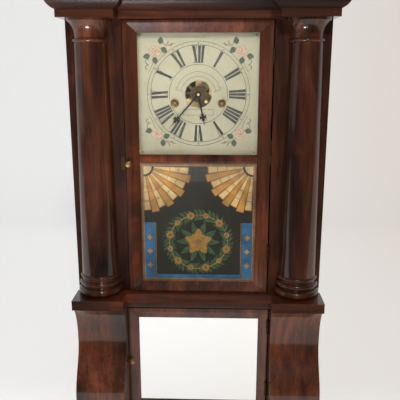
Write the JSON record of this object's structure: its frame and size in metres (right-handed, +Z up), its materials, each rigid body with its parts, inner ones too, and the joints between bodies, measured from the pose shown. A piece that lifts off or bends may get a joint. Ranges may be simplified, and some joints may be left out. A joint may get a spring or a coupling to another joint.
{
  "type": "empire shelf clock",
  "caption": "Weight-driven shelf clock with half-round columns, scroll pilasters, a glazed dial door over a mirror door, and a working movement, pendulum, weights and gong.",
  "frame": {"origin": "middle of the case's footprint, on the surface the clock stands on", "axes": "+X to the right of the dial, +Y from the dial towards the wall, +Z up"},
  "size_m": [0.496, 0.178, 0.8082],
  "materials": {
    "mahogany": "gloss varnish over mahogany veneer",
    "pine": "bare softwood",
    "dial_paint": "cream paint with black numerals",
    "clear_glass": "clear",
    "painted_glass": "painted on the back",
    "mirror": "silvered",
    "brass_trim": "aged",
    "brass": "polished",
    "hand_steel": "blackened",
    "steel": "plain",
    "iron": "rough cast",
    "cord": "twisted cord"
  },
  "bodies": {
    "case": {"backboard": "pine", "case_side_left": "mahogany", "case_side_right": "mahogany", "top_board": "pine", "bottom_board": "pine", "base_rail": "mahogany", "front_stile_left": "mahogany", "front_stile_right": "mahogany", "column_shelf": "mahogany", "header_rails": "mahogany", "scroll_pilasters": "mahogany", "column_shafts": "mahogany", "column_capitals": "mahogany", "column_bases": "mahogany", "frieze": "mahogany", "cornice_crown": "mahogany", "cornice_top_board": "pine", "weight_chutes": "pine", "seat_board": "pine", "dial_board": "dial_paint", "dial_battens": "pine", "case_hinge_leaves": "brass_trim", "front_plate": "brass", "back_plate": "brass", "gong": "steel", "standing_cords": "cord", "time_hanging_cord": "cord", "strike_hanging_cord": "cord"},
    "upper_door": {"upper_door_frame": "mahogany", "dial_glass": "clear_glass", "tablet_glass": "painted_glass", "upper_door_hinges": "brass_trim"},
    "upper_latch": {"upper_door_knob": "brass_trim"},
    "lower_door": {"lower_door_frame": "mahogany", "mirror_glass": "mirror", "mirror_backing": "pine", "lower_door_hinges": "brass_trim"},
    "lower_latch": {"lower_door_knob": "brass_trim"},
    "minute_motion": {"cannon_pinion": "brass", "minute_hand": "hand_steel"},
    "motion_wheel": {"minute_wheel": "brass"},
    "hour_motion": {"hour_wheel": "brass", "hour_hand": "hand_steel"},
    "third_arbor": {"third_wheel": "brass"},
    "center_arbor": {"center_wheel": "brass"},
    "time_great": {"time_great_wheel": "brass"},
    "escape_arbor": {"escape_wheel": "brass"},
    "strike_arbor": {"pin_wheel": "brass"},
    "strike_great": {"strike_great_wheel": "brass"},
    "fly_arbor": {"strike_fly": "brass"},
    "pendulum": {"pendulum_rod": "steel", "pendulum_bob": "brass"},
    "verge_anchor": {"verge": "steel"},
    "gong_hammer": {"hammer": "steel"},
    "time_weight_block": {"time_weight": "iron"},
    "time_barrel": {"time_drum": "brass"},
    "time_sheave": {"time_pulley": "brass"},
    "strike_weight_block": {"strike_weight": "iron"},
    "strike_barrel": {"strike_drum": "brass"},
    "strike_sheave": {"strike_pulley": "brass"}
  },
  "joints": [
    {"name": "upper_door_swing", "type": "hinge", "parent": "case", "child": "upper_door", "pos_m": [0.1237, -0.0578, 0.5], "axis": [0, 0, 1], "range_deg": [0, 110]},
    {"name": "upper_latch_turn", "type": "hinge", "parent": "upper_door", "child": "upper_latch", "pos_m": [-0.1189, 0, 0.5225], "axis": [0, 1, 0], "range_deg": [0, 90]},
    {"name": "lower_door_swing", "type": "hinge", "parent": "case", "child": "lower_door", "pos_m": [0.1265, -0.0578, 0.15], "axis": [0, 0, 1], "range_deg": [0, 88]},
    {"name": "lower_latch_turn", "type": "hinge", "parent": "lower_door", "child": "lower_latch", "pos_m": [-0.1232, 0, 0.1505], "axis": [0, 1, 0], "range_deg": [0, 90]},
    {"name": "minute_turn", "type": "hinge", "parent": "case", "child": "minute_motion", "pos_m": [0, 0, 0.638], "axis": [0, 1, 0], "continuous": true},
    {"name": "motion_wheel_turn", "type": "hinge", "parent": "case", "child": "motion_wheel", "pos_m": [0.01273, 0, 0.62527], "axis": [0, 1, 0], "continuous": true},
    {"name": "hour_turn", "type": "hinge", "parent": "case", "child": "hour_motion", "pos_m": [0, 0, 0.638], "axis": [0, 1, 0], "continuous": true},
    {"name": "third_turn", "type": "hinge", "parent": "case", "child": "third_arbor", "pos_m": [0.022, 0, 0.672], "axis": [0, 1, 0], "continuous": true},
    {"name": "center_turn", "type": "hinge", "parent": "case", "child": "center_arbor", "pos_m": [0, 0, 0.638], "axis": [0, 1, 0], "continuous": true},
    {"name": "time_great_turn", "type": "hinge", "parent": "case", "child": "time_great", "pos_m": [0.0401, 0, 0.6233], "axis": [0, 1, 0], "continuous": true},
    {"name": "escape_turn", "type": "hinge", "parent": "case", "child": "escape_arbor", "pos_m": [0, 0, 0.6907], "axis": [0, 1, 0], "continuous": true},
    {"name": "strike_turn", "type": "hinge", "parent": "case", "child": "strike_arbor", "pos_m": [-0.04752, 0, 0.66536], "axis": [0, 1, 0], "continuous": true},
    {"name": "strike_great_turn", "type": "hinge", "parent": "case", "child": "strike_great", "pos_m": [-0.0401, 0, 0.6233], "axis": [0, 1, 0], "continuous": true},
    {"name": "fly_turn", "type": "hinge", "parent": "case", "child": "fly_arbor", "pos_m": [-0.02749, 0, 0.68377], "axis": [0, 1, 0], "continuous": true},
    {"name": "pendulum_swing", "type": "hinge", "parent": "case", "child": "pendulum", "pos_m": [0, 0.032, 0.711], "axis": [0, 1, 0], "range_deg": [-3, 3]},
    {"name": "verge_rock", "type": "hinge", "parent": "case", "child": "verge_anchor", "pos_m": [0, 0.007, 0.711], "axis": [0, 1, 0], "range_deg": [-3, 3]},
    {"name": "hammer_lift", "type": "hinge", "parent": "case", "child": "gong_hammer", "pos_m": [0.014, -0.003, 0.572], "axis": [0, 1, 0], "range_deg": [0, 14]},
    {"name": "time_weight_lift", "type": "slide", "parent": "case", "child": "time_weight_block", "axis": [0, 0, 1], "range_m": [0, 0.43], "deforming": ["time_hanging_cord"]},
    {"name": "time_barrel_turn", "type": "hinge", "parent": "case", "child": "time_barrel", "pos_m": [0.0401, 0, 0.6233], "axis": [0, 1, 0], "range_deg": [0, 1500]},
    {"name": "time_sheave_turn", "type": "hinge", "parent": "case", "child": "time_sheave", "pos_m": [0.14875, 0, 0.7757], "axis": [0, 1, 0], "range_deg": [-1340, 0]},
    {"name": "strike_weight_lift", "type": "slide", "parent": "case", "child": "strike_weight_block", "axis": [0, 0, 1], "range_m": [0, 0.43], "deforming": ["strike_hanging_cord"]},
    {"name": "strike_barrel_turn", "type": "hinge", "parent": "case", "child": "strike_barrel", "pos_m": [-0.0401, 0, 0.6233], "axis": [0, 1, 0], "range_deg": [-1500, 0]},
    {"name": "strike_sheave_turn", "type": "hinge", "parent": "case", "child": "strike_sheave", "pos_m": [-0.14875, 0, 0.7757], "axis": [0, 1, 0], "range_deg": [0, 1340]}
  ],
  "couplings": [
    {"joint": "motion_wheel_turn", "follows": "minute_turn", "ratio": -0.33333},
    {"joint": "hour_turn", "follows": "minute_turn", "ratio": 0.083333},
    {"joint": "center_turn", "follows": "third_turn", "ratio": -0.11111},
    {"joint": "time_great_turn", "follows": "third_turn", "ratio": 0.013889},
    {"joint": "escape_turn", "follows": "third_turn", "ratio": -8.5714},
    {"joint": "strike_great_turn", "follows": "strike_turn", "ratio": -0.125},
    {"joint": "fly_turn", "follows": "strike_turn", "ratio": -7.5},
    {"joint": "verge_rock", "follows": "pendulum_swing", "ratio": 1},
    {"joint": "time_barrel_turn", "follows": "time_weight_lift", "rad_per_m": 60.606},
    {"joint": "time_sheave_turn", "follows": "time_weight_lift", "rad_per_m": -54.054},
    {"joint": "strike_barrel_turn", "follows": "strike_weight_lift", "rad_per_m": -60.606},
    {"joint": "strike_sheave_turn", "follows": "strike_weight_lift", "rad_per_m": 54.054}
  ]
}
